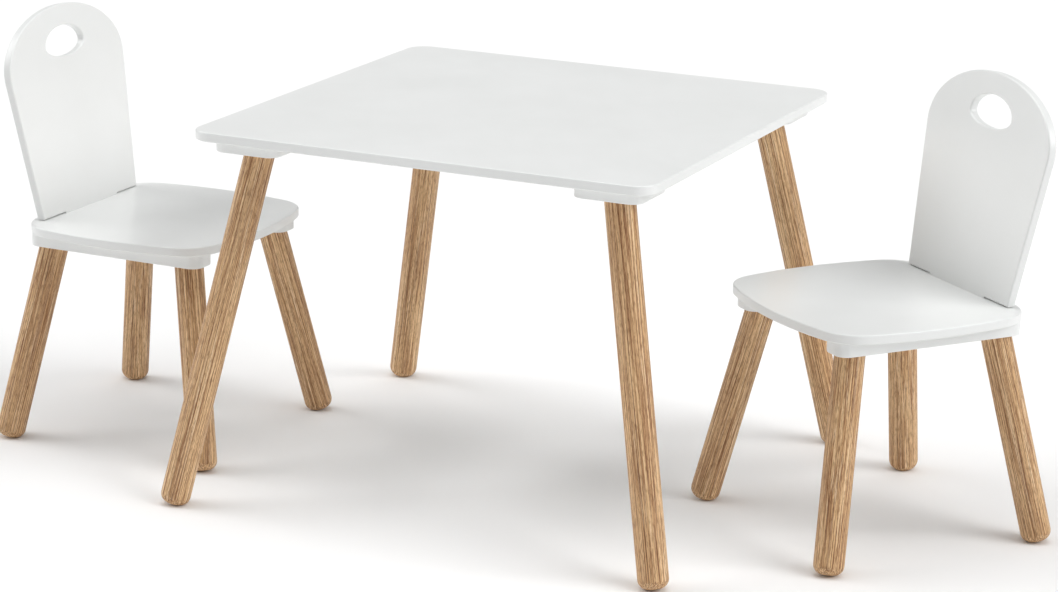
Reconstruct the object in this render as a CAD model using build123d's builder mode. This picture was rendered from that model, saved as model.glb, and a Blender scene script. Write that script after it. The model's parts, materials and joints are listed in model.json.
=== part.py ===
from build123d import *
from math import cos, degrees, radians, sin, tan
import os

# A small square table and two matching chairs for young children.
# Boards lie flat and are white; the legs are plain round bars that splay outwards.
# Everything is first placed about the middle of the table, on the floor, with +Z up and the
# table's sides along X and Y. At the end the whole set is moved so that the middle of its own
# box is the origin.

# ---------------------------------------------------------------- shared sizes (millimetres)
leg_radius = 18.5
foot_rounding = 12.0          # the lower end of a leg is rounded like a broom handle
foot_flat_depth = 0.6         # the rounded end is worn flat by this much where it stands
board_edge = 2.0              # rounding along the edges of the boards
block_edge = 1.5              # rounding along the edges of the blocks and rails
fastener_gap = 0.1            # all round each screw and bolt

# ---------------------------------------------------------------- table
table_side = 600.0
table_height = 473.0
table_top_thickness = 12.0
table_corner_radius = 27.0
table_leg_splay_x = 11.0      # degrees
table_leg_splay_y = 9.2
corner_block_side = 87.0
corner_block_thickness = 16.0
corner_block_inset = 21.0     # from the edge of the top to the block
corner_block_radius = 16.0
block_screw_spread = 30.0     # from the block's middle to each screw

# ---------------------------------------------------------------- chair
seat_height = 286.0
seat_thickness = 12.0
seat_half_depth = 131.0       # to the corners, before they are rounded
seat_half_width = 135.5
seat_side_bulge = 17.0        # how far each side bows out past its corners
seat_front_bulge = 21.0
seat_back_bulge = 4.0
seat_corner_radius = 52.0
rail_half_length = 128.0
rail_width = 44.0
rail_thickness = 18.0
rail_middle = 105.0           # from the chair's centre line to the middle of a rail
rail_corner_radius = 16.0
chair_leg_top_x = 101.5       # from the chair's centre lines to the top of each leg
chair_leg_top_y = 103.5
chair_foot_x = 148.0          # and to where each leg stands
chair_foot_y = 150.5

backrest_thickness = 11.0
backrest_lean = 9.7           # degrees back from upright
backrest_seat_x = -112.0      # where its front face meets the top of the seat
backrest_base_half_width = 108.5
backrest_half_width = 130.0
backrest_shoulder_height = 187.5
backrest_arch_height = 78.5
shoulder_gap = 1.0            # open line between the seat and the backrest's shoulders
tenon_half_width = 60.0
tenon_depth = 28.0            # how far the tenon reaches down from the top of the seat
tenon_top = 8.0               # how far it runs up into the board, past the rounded shoulders
tenon_fit = 0.15              # all round the tenon in its slot
grip_half_width = 43.0
grip_bottom = 199.0
grip_top = 238.5
grip_widest = 214.5
cleat_half_width = 62.0
cleat_depth = 34.0
cleat_thickness = 18.0
rail_screws = 4               # along each rail
rail_screw_pitch = 40.0
cleat_screw_offset = 25.0     # to each side of the chair's centre line
cleat_screw_setback = 21.0    # from the cleat's rear edge to its screws
backrest_screw_offset = 40.0
backrest_screw_drop = 21.0    # below the top of the seat, measured down the tenon

# where each chair stands: its centre, and the way it faces in degrees from +X
chair_places = {
    "chair_left": (-498.5, -31.2, -0.9),
    "chair_right": (460.4, 38.4, 231.2),
}

# ---------------------------------------------------------------- fasteners
screw_length = 25.0
screw_shank_radius = 2.0
screw_head_radius = 4.0
screw_point = 4.0
recess_span = 4.4             # the cross recess in a screw's head
recess_width = 0.9
recess_depth = 1.6
backrest_screw_length = 35.0
hanger_bolt_radius = 4.0
hanger_wood_radius = 3.5      # the coarse thread that is driven into the leg
hanger_wood_length = 36.0
hanger_nut_length = 12.5
hanger_step = 2.0             # how far the fine thread starts inside the leg
hanger_chamfer = 1.0
hanger_point = 5.0
hanger_point_radius = 1.4
insert_nut_radius = 6.5
insert_nut_start = 2.5        # from the block's face, so the slanted nut stays inside
insert_nut_length = 10.5
insert_slot_width = 1.2
insert_slot_depth = 1.2
hole_run_out = 3.0            # how far a slanted blind hole starts outside its block

# ---------------------------------------------------------------- derived
block_underside = table_height - table_top_thickness - corner_block_thickness
block_middle = table_side / 2 - corner_block_inset - corner_block_side / 2
table_foot_x = block_middle + block_underside * tan(radians(table_leg_splay_x))
table_foot_y = block_middle + block_underside * tan(radians(table_leg_splay_y))
rail_underside = seat_height - seat_thickness - rail_thickness
lean = radians(backrest_lean)

os.makedirs("parts", exist_ok=True)
pieces = {}


def keep(piece, name, place=Location()):
    """Put a finished piece where it stands and note it under its name."""
    pieces[name] = piece.moved(place)


# ---------------------------------------------------------------- fasteners
def screw_profile(length, grow):
    """Half the outline of a countersunk screw: head at z = 0, point down, grown all round."""
    head = screw_head_radius + grow
    shank = screw_shank_radius + grow
    tip = length + grow
    return [
        (0, 0),
        (head, 0),
        (shank, screw_shank_radius - screw_head_radius),
        (shank, screw_point - length),
        (0, -tip),
    ]


def revolved(outline):
    """A solid of revolution about Z from half an outline in the XZ plane."""
    with BuildPart(mode=Mode.PRIVATE) as body:
        with BuildSketch(Plane.XZ):
            with BuildLine():
                Polyline(*outline, close=True)
            make_face()
        revolve(axis=Axis.Z)
    return body.part


def wood_screw(length):
    """A countersunk screw with a cross recess in its head."""
    with BuildPart(mode=Mode.PRIVATE) as screw:
        add(revolved(screw_profile(length, 0)))
        with BuildSketch():
            Rectangle(recess_span, recess_width)
            Rectangle(recess_width, recess_span)
        extrude(amount=-recess_depth, mode=Mode.SUBTRACT)
    return screw.part


def screw_hole(length):
    """The countersunk pilot hole that such a screw is driven into."""
    return revolved(screw_profile(length, fastener_gap))


def hanger_bolt_profile(grow):
    """Half the outline of a hanger bolt: z = 0 is where the leg meets its block."""
    wood = hanger_wood_radius + grow
    nut = hanger_bolt_radius + grow
    return [
        (0, -hanger_wood_length - grow),
        (hanger_point_radius, -hanger_wood_length - grow),
        (wood, hanger_point - hanger_wood_length),
        (wood, -hanger_step),
        (nut, -hanger_step),
        (nut, hanger_nut_length - hanger_chamfer),
        (nut - hanger_chamfer, hanger_nut_length + grow),
        (0, hanger_nut_length + grow),
    ]


def insert_nut():
    """A threaded insert, with two slots in its lower face to drive it."""
    with BuildPart(mode=Mode.PRIVATE) as nut:
        with BuildSketch(Plane.XY.offset(insert_nut_start)):
            Circle(insert_nut_radius)
            Circle(hanger_bolt_radius + fastener_gap, mode=Mode.SUBTRACT)
        extrude(amount=insert_nut_length)
        with BuildSketch(Plane.XY.offset(insert_nut_start)):
            Rectangle(4 * insert_nut_radius, insert_slot_width)
        extrude(amount=insert_slot_depth, mode=Mode.SUBTRACT)
    return nut.part


def insert_nut_hole():
    """The blind hole for an insert, open at the block's face."""
    depth = insert_nut_start + insert_nut_length + fastener_gap
    with BuildPart(mode=Mode.PRIVATE) as hole:
        with BuildSketch(Plane.XY.offset(-hole_run_out)):
            Circle(insert_nut_radius + fastener_gap)
        extrude(amount=hole_run_out + depth)
    return hole.part


# ---------------------------------------------------------------- legs
def leg_plane(top, foot):
    """The plane across a leg where it meets its block, looking up along the leg."""
    return Plane(origin=top, z_dir=Vector(*top) - Vector(*foot))


def leg(top, foot):
    """A round bar from its block down to a rounded end that stands on the floor."""
    plane = leg_plane(top, foot)
    slant = radians(plane.z_dir.get_angle(Vector(0, 0, 1)))
    lowest_point = (leg_radius - foot_rounding) * sin(slant) + foot_rounding * (1 - cos(slant))
    length = (top[2] - lowest_point + foot_flat_depth) / cos(slant)
    with BuildPart() as bar:
        with BuildSketch(plane.offset(-length)):
            Circle(leg_radius)
        extrude(amount=length + 2 * leg_radius)
        fillet(bar.edges().group_by(Axis.Z)[0], radius=foot_rounding)
        split(bisect_by=Plane.XY.offset(top[2]), keep=Keep.BOTTOM)
        split(bisect_by=Plane.XY, keep=Keep.TOP)
        with Locations(plane):
            add(revolved(hanger_bolt_profile(fastener_gap)), mode=Mode.SUBTRACT)
    return bar.part


def corners(x, y):
    """The four corners of a rectangle about the origin, each with the name of its place."""
    return {
        "front_left": (-x, -y),
        "front_right": (x, -y),
        "back_right": (x, y),
        "back_left": (-x, y),
    }


def screws_from_below(points, z):
    """Planes for screws that are driven straight up at the given points."""
    return [Plane(origin=(x, y, z), z_dir=(0, 0, -1)) for x, y in points]


def scattered(shape, planes):
    """The same fastener at several places, as one group of separate solids."""
    with BuildPart() as group:
        with Locations(*planes):
            add(shape)
    return group.part


# ---------------------------------------------------------------- table
with BuildPart() as table_top:
    with BuildSketch(Plane.XY.offset(table_height - table_top_thickness)):
        RectangleRounded(table_side, table_side, table_corner_radius)
    extrude(amount=table_top_thickness)
    fillet(table_top.edges().filter_by(Plane.XY), radius=board_edge)
    screw_points = [
        (x + i * block_screw_spread, y + j * block_screw_spread)
        for x, y in corners(block_middle, block_middle).values()
        for i in (-1, 1)
        for j in (-1, 1)
    ]
    screw_planes = screws_from_below(screw_points, block_underside)
    with Locations(*screw_planes):
        add(screw_hole(screw_length), mode=Mode.SUBTRACT)
keep(table_top.part, "table_top")

table_leg_planes = []
for corner, (x, y) in corners(block_middle, block_middle).items():
    top = (x, y, block_underside)
    foot = (x / block_middle * table_foot_x, y / block_middle * table_foot_y, 0)
    table_leg_planes.append(leg_plane(top, foot))
    with BuildPart() as corner_block:
        with BuildSketch(Plane.XY.offset(block_underside)):
            with Locations((x, y)):
                RectangleRounded(corner_block_side, corner_block_side, corner_block_radius)
        extrude(amount=corner_block_thickness)
        fillet(corner_block.edges().group_by(Axis.Z)[0], radius=block_edge)
        with Locations(*screw_planes):
            add(screw_hole(screw_length), mode=Mode.SUBTRACT)
        with Locations(leg_plane(top, foot)):
            add(insert_nut_hole(), mode=Mode.SUBTRACT)
    keep(corner_block.part, f"corner_block_{corner}")
    keep(leg(top, foot), f"table_leg_{corner}")

keep(scattered(wood_screw(screw_length), screw_planes), "table_block_screws")
keep(scattered(revolved(hanger_bolt_profile(0)), table_leg_planes), "table_leg_bolts")
keep(scattered(insert_nut(), table_leg_planes), "table_insert_nuts")


# ---------------------------------------------------------------- chair
# A chair is built facing +X about its own centre line, then moved to where it stands.
seat_underside = seat_height - seat_thickness
backrest_front = Plane(
    origin=(backrest_seat_x, 0, seat_height),
    x_dir=(0, 1, 0),
    z_dir=(cos(lean), 0, sin(lean)),
)
cleat_rear_x = backrest_seat_x + seat_thickness * tan(lean)

chair_leg_ends = {
    corner: (
        (x, y, rail_underside),
        (x / chair_leg_top_x * chair_foot_x, y / chair_leg_top_y * chair_foot_y, 0),
    )
    for corner, (x, y) in corners(chair_leg_top_x, chair_leg_top_y).items()
}
chair_leg_planes = [leg_plane(top, foot) for top, foot in chair_leg_ends.values()]

rail_screw_points = [
    ((i - (rail_screws - 1) / 2) * rail_screw_pitch, side * rail_middle)
    for side in (-1, 1)
    for i in range(rail_screws)
]
cleat_screw_points = [
    (cleat_rear_x + cleat_screw_setback, side * cleat_screw_offset) for side in (-1, 1)
]
seat_screw_planes = screws_from_below(rail_screw_points + cleat_screw_points, rail_underside)
backrest_screw_heads = [
    (side * backrest_screw_offset, -backrest_screw_drop, -backrest_thickness) for side in (-1, 1)
]
backrest_screw_planes = [
    Plane(origin=backrest_front.from_local_coords(head), z_dir=-backrest_front.z_dir)
    for head in backrest_screw_heads
]


def seat():
    """A board with four bowed sides and rounded corners, slotted for the backrest's tenon."""
    x, y = seat_half_depth, seat_half_width
    with BuildPart() as board:
        with BuildSketch(Plane.XY.offset(seat_underside)) as outline:
            with BuildLine():
                ThreePointArc((x, -y), (x + seat_front_bulge, 0), (x, y))
                ThreePointArc((x, y), (0, y + seat_side_bulge), (-x, y))
                ThreePointArc((-x, y), (-x - seat_back_bulge, 0), (-x, -y))
                ThreePointArc((-x, -y), (0, -y - seat_side_bulge), (x, -y))
            make_face()
            fillet(outline.vertices(), radius=seat_corner_radius)
        extrude(amount=seat_thickness)
        fillet(board.edges().filter_by(Plane.XY), radius=board_edge)
        with BuildSketch(backrest_front.offset(tenon_fit)):
            Rectangle(2 * (tenon_half_width + tenon_fit), 4 * seat_thickness)
        extrude(amount=-backrest_thickness - 2 * tenon_fit, mode=Mode.SUBTRACT)
        with Locations(*seat_screw_planes):
            add(screw_hole(screw_length), mode=Mode.SUBTRACT)
    return board.part


def rail(side):
    """A flat bar under one side of the seat, which takes two of the legs."""
    with BuildPart() as bar:
        with BuildSketch(Plane.XY.offset(rail_underside)):
            with Locations((0, side * rail_middle)):
                RectangleRounded(2 * rail_half_length, rail_width, rail_corner_radius)
        extrude(amount=rail_thickness)
        fillet(bar.edges().group_by(Axis.Z)[0], radius=block_edge)
        with Locations(*seat_screw_planes):
            add(screw_hole(screw_length), mode=Mode.SUBTRACT)
        with Locations(*chair_leg_planes):
            add(insert_nut_hole(), mode=Mode.SUBTRACT)
    return bar.part


def cleat():
    """The bar between the rails that the backrest's tenon is screwed against."""
    with BuildPart() as bar:
        with BuildSketch(Plane.XY.offset(seat_underside - cleat_thickness)):
            with Locations((cleat_rear_x + cleat_depth / 2, 0)):
                Rectangle(cleat_depth, 2 * cleat_half_width)
        extrude(amount=cleat_thickness)
        split(bisect_by=backrest_front.offset(tenon_fit), keep=Keep.TOP)
        chamfer(bar.faces().sort_by(Axis.X)[-1].edges().filter_by(Axis.Y), length=block_edge)
        with Locations(*seat_screw_planes):
            add(screw_hole(screw_length), mode=Mode.SUBTRACT)
        with Locations(*backrest_screw_planes):
            add(screw_hole(backrest_screw_length), mode=Mode.SUBTRACT)
    return bar.part


def backrest():
    """A leaning board with an arched top, an oval hand grip and a tenon through the seat."""
    flare = (backrest_half_width - backrest_base_half_width) / backrest_shoulder_height
    arch_start = degrees(flare * backrest_arch_height / backrest_half_width)
    drop = 3 * shoulder_gap
    with BuildPart() as board:
        with BuildSketch(backrest_front):
            with BuildLine():
                arch = EllipticalCenterArc(
                    (0, backrest_shoulder_height),
                    backrest_half_width,
                    backrest_arch_height,
                    -arch_start,
                    arc_size=180 + 2 * arch_start,
                )
                Polyline(
                    arch @ 1,
                    (-backrest_base_half_width, -drop),
                    (backrest_base_half_width, -drop),
                    arch @ 0,
                )
            make_face()
        extrude(amount=-backrest_thickness)
        split(bisect_by=Plane.XY.offset(seat_height + shoulder_gap), keep=Keep.TOP)
        with BuildSketch(backrest_front):
            with BuildLine():
                middle = (0, grip_widest)
                dome_height = grip_top - grip_widest
                bowl_height = grip_widest - grip_bottom
                EllipticalCenterArc(middle, grip_half_width, dome_height, 0, arc_size=180)
                EllipticalCenterArc(middle, grip_half_width, bowl_height, 180, arc_size=180)
            make_face()
        extrude(amount=-backrest_thickness, mode=Mode.SUBTRACT)
        front_and_back = board.faces().sort_by(SortBy.AREA)[-2:]
        fillet(front_and_back.edges(), radius=board_edge)
        with BuildSketch(backrest_front):
            with Locations((0, (tenon_top - tenon_depth) / 2)):
                Rectangle(2 * tenon_half_width, tenon_top + tenon_depth)
        extrude(amount=-backrest_thickness)
        with Locations(*backrest_screw_planes):
            add(screw_hole(backrest_screw_length), mode=Mode.SUBTRACT)
    return board.part


for chair, (x, y, facing) in chair_places.items():
    place = Location((x, y, 0), (0, 0, facing))
    keep(seat(), f"{chair}_seat", place)
    keep(rail(1), f"{chair}_rail_left", place)
    keep(rail(-1), f"{chair}_rail_right", place)
    keep(cleat(), f"{chair}_cleat", place)
    keep(backrest(), f"{chair}_backrest", place)
    for corner, (top, foot) in chair_leg_ends.items():
        keep(leg(top, foot), f"{chair}_leg_{corner}", place)
    seat_screws = scattered(wood_screw(screw_length), seat_screw_planes)
    keep(seat_screws, f"{chair}_seat_screws", place)
    backrest_screws = scattered(wood_screw(backrest_screw_length), backrest_screw_planes)
    keep(backrest_screws, f"{chair}_backrest_screws", place)
    leg_bolts = scattered(revolved(hanger_bolt_profile(0)), chair_leg_planes)
    keep(leg_bolts, f"{chair}_leg_bolts", place)
    keep(scattered(insert_nut(), chair_leg_planes), f"{chair}_insert_nuts", place)

# ---------------------------------------------------------------- the whole set
box = Compound(list(pieces.values())).bounding_box()
middle = box.center()
to_origin = Location((-middle.X, -middle.Y, 0))
for name, piece in pieces.items():
    piece = piece.moved(to_origin)
    piece.label = name
    export_step(piece, f"parts/{name}.step")
print(f"the table's middle is at x {-middle.X:.3f}, y {-middle.Y:.3f}")
print(f"the whole set is {box.size.X:.1f} x {box.size.Y:.1f} x {box.size.Z:.1f} mm")
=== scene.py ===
import json
import math

import bpy
import numpy as np
from mathutils import Matrix, Vector

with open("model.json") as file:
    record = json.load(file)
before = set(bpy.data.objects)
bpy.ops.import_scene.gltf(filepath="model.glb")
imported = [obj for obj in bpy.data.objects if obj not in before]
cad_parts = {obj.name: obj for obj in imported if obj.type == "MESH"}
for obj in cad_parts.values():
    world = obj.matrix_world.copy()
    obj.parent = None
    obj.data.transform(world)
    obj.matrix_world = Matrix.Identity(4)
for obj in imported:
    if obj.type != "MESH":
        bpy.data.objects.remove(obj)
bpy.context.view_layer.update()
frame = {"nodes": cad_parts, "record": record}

MM = 0.001

# the floor
FLOOR_SIDE = 60.0
FLOOR_TONE = 0.95
FLOOR_ROUGHNESS = 0.9

# the light: a dim even room, and four very distant soft lights
ROOM_STRENGTH = 0.14
# name: the direction it comes from, strength, spread in degrees
SUNS = {
    "key": ((0.36, 0.0, 0.26), 1.68, 40),
    "fill": ((-0.28, -0.06, 0.19), 1.42, 45),
    "back": ((-0.05, 0.22, 0.10), 0.15, 60),
    "overhead": ((0.0, 0.03, 1.0), 1.26, 50),
}

# the camera: metres, degrees and millimetres
CAMERA_PLACE = (1.6432, -3.5332, 1.3310)
CAMERA_YAW = 24.43
CAMERA_PITCH = 15.96
CAMERA_ROLL = 1.07
CAMERA_SENSOR = 36.0
CAMERA_LENS = 109.63
CAMERA_SHIFT_X = -0.0230
CAMERA_SHIFT_Y = 0.0135

# the timber's colours, from its darkest grain to its palest
DARK_GRAIN = (0.330, 0.165, 0.078)
BROWN_GRAIN = (0.520, 0.300, 0.148)
TAN_GRAIN = (0.680, 0.440, 0.230)
PALE_GRAIN = (0.840, 0.595, 0.350)
PALE_LINE = (0.90, 0.69, 0.46)
BLACK = (0, 0, 0)
WHITE = (1, 1, 1)


# ---------------------------------------------------------------- small helpers for node materials
def new_material(name):
    """A material with an empty node tree apart from its shader and its output."""
    material = bpy.data.materials.new(name)
    material.use_nodes = True
    tree = material.node_tree
    tree.nodes.clear()
    shader = tree.nodes.new("ShaderNodeBsdfPrincipled")
    output = tree.nodes.new("ShaderNodeOutputMaterial")
    tree.links.new(shader.outputs["BSDF"], output.inputs["Surface"])
    return material, tree, shader


def add_node(tree, kind, inputs=None, **settings):
    """One node, its settings, and its inputs: a number or colour sets one, a socket is linked to it."""
    node = tree.nodes.new(kind)
    for key, value in settings.items():
        setattr(node, key, value)
    for key, value in (inputs or {}).items():
        if isinstance(value, bpy.types.NodeSocket):
            tree.links.new(value, node.inputs[key])
        else:
            node.inputs[key].default_value = value
    return node


def noise(tree, vector, scale, detail=2.0, roughness=0.5):
    """Noise between 0 and 1 at so many features a metre."""
    inputs = {"Vector": vector, "Scale": scale, "Detail": detail, "Roughness": roughness}
    return add_node(tree, "ShaderNodeTexNoise", inputs).outputs["Fac"]


def ramp(tree, factor, stops):
    """A colour ramp from (position, colour) pairs."""
    node = add_node(tree, "ShaderNodeValToRGB", {"Fac": factor})
    elements = node.color_ramp.elements
    while len(elements) < len(stops):
        elements.new(0.5)
    for element, (position, colour) in zip(elements, stops):
        element.position = position
        element.color = (*colour, 1.0)
    return node.outputs["Color"]


def remap(tree, value, low, high, new_low, new_high):
    """The value, moved from one range to another and held inside it."""
    inputs = {"Value": value, "From Min": low, "From Max": high, "To Min": new_low, "To Max": new_high}
    return add_node(tree, "ShaderNodeMapRange", inputs).outputs["Result"]


def mixed(tree, factor, a, b, blend="MIX"):
    """Two colours, mixed or multiplied by so much."""
    node = add_node(tree, "ShaderNodeMix", data_type="RGBA", blend_type=blend)
    for socket, value in zip([node.inputs[0], node.inputs[6], node.inputs[7]], [factor, a, b]):
        if isinstance(value, bpy.types.NodeSocket):
            tree.links.new(value, socket)
        elif isinstance(value, (int, float)):
            socket.default_value = value
        else:
            socket.default_value = (*value, 1.0)
    return node.outputs[2]


def bump(tree, height, strength, distance, normal=None):
    """A bump from a height, on top of another if there is one."""
    inputs = {"Height": height, "Strength": strength, "Distance": distance}
    if normal is not None:
        inputs["Normal"] = normal
    return add_node(tree, "ShaderNodeBump", inputs).outputs["Normal"]


def object_coordinates(tree):
    """Positions in metres, in the piece's own frame."""
    return tree.nodes.new("ShaderNodeTexCoord").outputs["Object"]


# ---------------------------------------------------------------- white lacquer
def white_lacquer():
    """Sprayed satin lacquer on board: faint orange peel and slow shifts in tone and gloss."""
    material, tree, shader = new_material("white_lacquer")
    where = object_coordinates(tree)
    slow = noise(tree, where, 9.0, detail=3.0)
    tone = ramp(tree, slow, [(0.3, (0.852, 0.864, 0.854)), (0.7, (0.880, 0.892, 0.884))])
    tree.links.new(tone, shader.inputs["Base Color"])
    gloss = noise(tree, where, 60.0, detail=3.0)
    tree.links.new(remap(tree, gloss, 0.3, 0.7, 0.30, 0.38), shader.inputs["Roughness"])
    peel = noise(tree, where, 420.0, detail=1.0)
    sanded = noise(tree, where, 2400.0, detail=2.0)
    normal = bump(tree, peel, 0.10, 0.12 * MM)
    normal = bump(tree, sanded, 0.06, 0.03 * MM, normal)
    tree.links.new(normal, shader.inputs["Normal"])
    shader.inputs["Coat Weight"].default_value = 0.25
    shader.inputs["Coat Roughness"].default_value = 0.22
    shader.inputs["IOR"].default_value = 1.48
    return material


# ---------------------------------------------------------------- striped timber for the legs
def leg_axis(node):
    """The middle of a leg's upper end, and the direction up along the leg, from its own mesh."""
    points = np.array([vertex.co for vertex in node.data.vertices], float)
    height = points[:, 2]
    upper_end = points[height > height.max() - 0.2 * MM]
    top = (upper_end.min(axis=0) + upper_end.max(axis=0)) / 2
    lower_rings = points[(height > 3 * MM) & (height < 50 * MM)]
    return Vector(top), (Vector(top) - Vector(lower_rings.mean(axis=0))).normalized()


def striped_timber(name, top, up, seed):
    """Straight-grained timber with fine brown and pale lines along the leg, and a satin finish."""
    material, tree, shader = new_material(name)
    mapping = add_node(tree, "ShaderNodeMapping", {"Vector": object_coordinates(tree)}, vector_type="TEXTURE")
    mapping.inputs["Location"].default_value = top
    mapping.inputs["Rotation"].default_value = up.to_track_quat("Z", "Y").to_euler()
    shifted = add_node(tree, "ShaderNodeVectorMath", {0: mapping.outputs["Vector"]}, operation="ADD")
    shifted.inputs[1].default_value = (0.37 * seed, 0.91 * seed, 1.7 * seed)
    along = shifted.outputs["Vector"]

    def stretched(ratio):
        """Coordinates squeezed along the grain, so that a feature is drawn out by 1 / ratio."""
        node = add_node(tree, "ShaderNodeVectorMath", {0: along}, operation="MULTIPLY")
        node.inputs[1].default_value = (1.0, 1.0, ratio)
        return node.outputs["Vector"]

    # early and late wood, each a millimetre or two wide
    bands = noise(tree, stretched(0.008), 620.0, detail=2.0, roughness=0.6)
    stops = [(0.34, DARK_GRAIN), (0.44, BROWN_GRAIN), (0.54, TAN_GRAIN), (0.66, PALE_GRAIN)]
    colour = ramp(tree, bands, stops)
    # the tone of the whole leg shifts slowly from side to side
    broad = noise(tree, stretched(0.05), 40.0, detail=2.0)
    tone = ramp(tree, broad, [(0.35, (0.95, 0.92, 0.89)), (0.65, (1.05, 1.06, 1.05))])
    colour = mixed(tree, 1.0, colour, tone, "MULTIPLY")
    # thin pale lines between the bands, and thin dark ones
    pale = noise(tree, stretched(0.006), 300.0, detail=1.0)
    pale_line = ramp(tree, pale, [(0.47, BLACK), (0.50, WHITE), (0.53, BLACK)])
    colour = mixed(tree, remap(tree, pale_line, 0.0, 1.0, 0.0, 0.80), colour, PALE_LINE)
    dark = noise(tree, stretched(0.010), 950.0, detail=1.0, roughness=0.6)
    dark_line = ramp(tree, dark, [(0.36, (0.52, 0.38, 0.29)), (0.45, WHITE)])
    colour = mixed(tree, 0.85, colour, dark_line, "MULTIPLY")
    # short pores along the grain
    pores = noise(tree, stretched(0.12), 950.0, detail=2.0, roughness=0.6)
    pore = ramp(tree, pores, [(0.36, (0.56, 0.48, 0.41)), (0.52, (1.07, 1.08, 1.08))])
    colour = mixed(tree, 0.8, colour, pore, "MULTIPLY")
    tree.links.new(colour, shader.inputs["Base Color"])
    tree.links.new(remap(tree, dark, 0.3, 0.7, 0.58, 0.46), shader.inputs["Roughness"])
    normal = bump(tree, dark, 0.20, 0.10 * MM)
    normal = bump(tree, pores, 0.20, 0.10 * MM, normal)
    tree.links.new(normal, shader.inputs["Normal"])
    shader.inputs["IOR"].default_value = 1.45
    return material


# ---------------------------------------------------------------- plated steel
def plated_steel():
    """Zinc-plated screws, bolts and inserts."""
    material, tree, shader = new_material("plated_steel")
    where = object_coordinates(tree)
    cloud = noise(tree, where, 500.0, detail=3.0)
    tone = ramp(tree, cloud, [(0.3, (0.50, 0.50, 0.48)), (0.7, (0.66, 0.66, 0.65))])
    tree.links.new(tone, shader.inputs["Base Color"])
    tree.links.new(remap(tree, cloud, 0.3, 0.7, 0.30, 0.45), shader.inputs["Roughness"])
    tree.links.new(bump(tree, noise(tree, where, 3000.0), 0.1, 0.02 * MM), shader.inputs["Normal"])
    shader.inputs["Metallic"].default_value = 1.0
    return material


def assign(node, material):
    """Put one material in every slot of a CAD node."""
    if not node.material_slots:
        node.data.materials.append(material)
    for slot in node.material_slots:
        slot.link = "OBJECT"
        slot.material = material


slot_of = {part["node"]: part["material_slot"] for part in frame["record"]["subparts"]}
lacquer = white_lacquer()
steel = plated_steel()
seed = 0
for name, node in sorted(frame["nodes"].items()):
    if slot_of[name] == "leg_wood":
        seed += 1
        top, up = leg_axis(node)
        assign(node, striped_timber(f"timber_{name}", top, up, seed))
    elif slot_of[name] == "plated_steel":
        assign(node, steel)
    else:
        assign(node, lacquer)


# ---------------------------------------------------------------- floor, light and camera
def make_floor():
    """A plain pale floor, far larger than the view."""
    bpy.ops.mesh.primitive_plane_add(size=FLOOR_SIDE, location=(0, 0, 0))
    floor = bpy.context.object
    floor.name = "floor"
    material, tree, shader = new_material("floor")
    shader.inputs["Base Color"].default_value = (FLOOR_TONE, FLOOR_TONE, FLOOR_TONE, 1)
    shader.inputs["Roughness"].default_value = FLOOR_ROUGHNESS
    floor.data.materials.append(material)


def sun(name, towards, strength, spread):
    """A very distant soft light, from the given direction, spread over so many degrees."""
    data = bpy.data.lights.new(name, "SUN")
    data.energy = strength
    data.angle = math.radians(spread)
    light = bpy.data.objects.new(name, data)
    light.rotation_euler = Vector(towards).to_track_quat("Z", "Y").to_euler()
    bpy.context.scene.collection.objects.link(light)


def make_light():
    """A dim even room, with broad soft lights from the right, the left, behind and above."""
    world = bpy.data.worlds.new("world")
    world.use_nodes = True
    background = world.node_tree.nodes["Background"]
    background.inputs["Color"].default_value = (1, 1, 1, 1)
    background.inputs["Strength"].default_value = ROOM_STRENGTH
    bpy.context.scene.world = world
    for name, (towards, strength, spread) in SUNS.items():
        sun(name, towards, strength, spread)


def make_camera():
    """The camera at the angle of a product shot: from the front right, looking a little down."""
    yaw = math.radians(CAMERA_YAW)
    pitch = math.radians(CAMERA_PITCH)
    roll = math.radians(CAMERA_ROLL)
    ahead = Vector((-math.sin(yaw), math.cos(yaw), 0))
    forward = math.cos(pitch) * ahead - math.sin(pitch) * Vector((0, 0, 1))
    level = Vector((math.cos(yaw), math.sin(yaw), 0))
    upright = level.cross(forward)
    right = math.cos(roll) * level + math.sin(roll) * upright
    above = math.cos(roll) * upright - math.sin(roll) * level
    data = bpy.data.cameras.new("camera")
    data.sensor_width = CAMERA_SENSOR
    data.lens = CAMERA_LENS
    data.shift_x = CAMERA_SHIFT_X
    data.shift_y = CAMERA_SHIFT_Y
    camera = bpy.data.objects.new("camera", data)
    turn = Matrix((right, above, -forward)).transposed().to_4x4()
    camera.matrix_world = Matrix.Translation(CAMERA_PLACE) @ turn
    bpy.context.scene.collection.objects.link(camera)
    bpy.context.scene.camera = camera


make_floor()
make_light()
make_camera()
bpy.context.scene.view_settings.view_transform = "Standard"
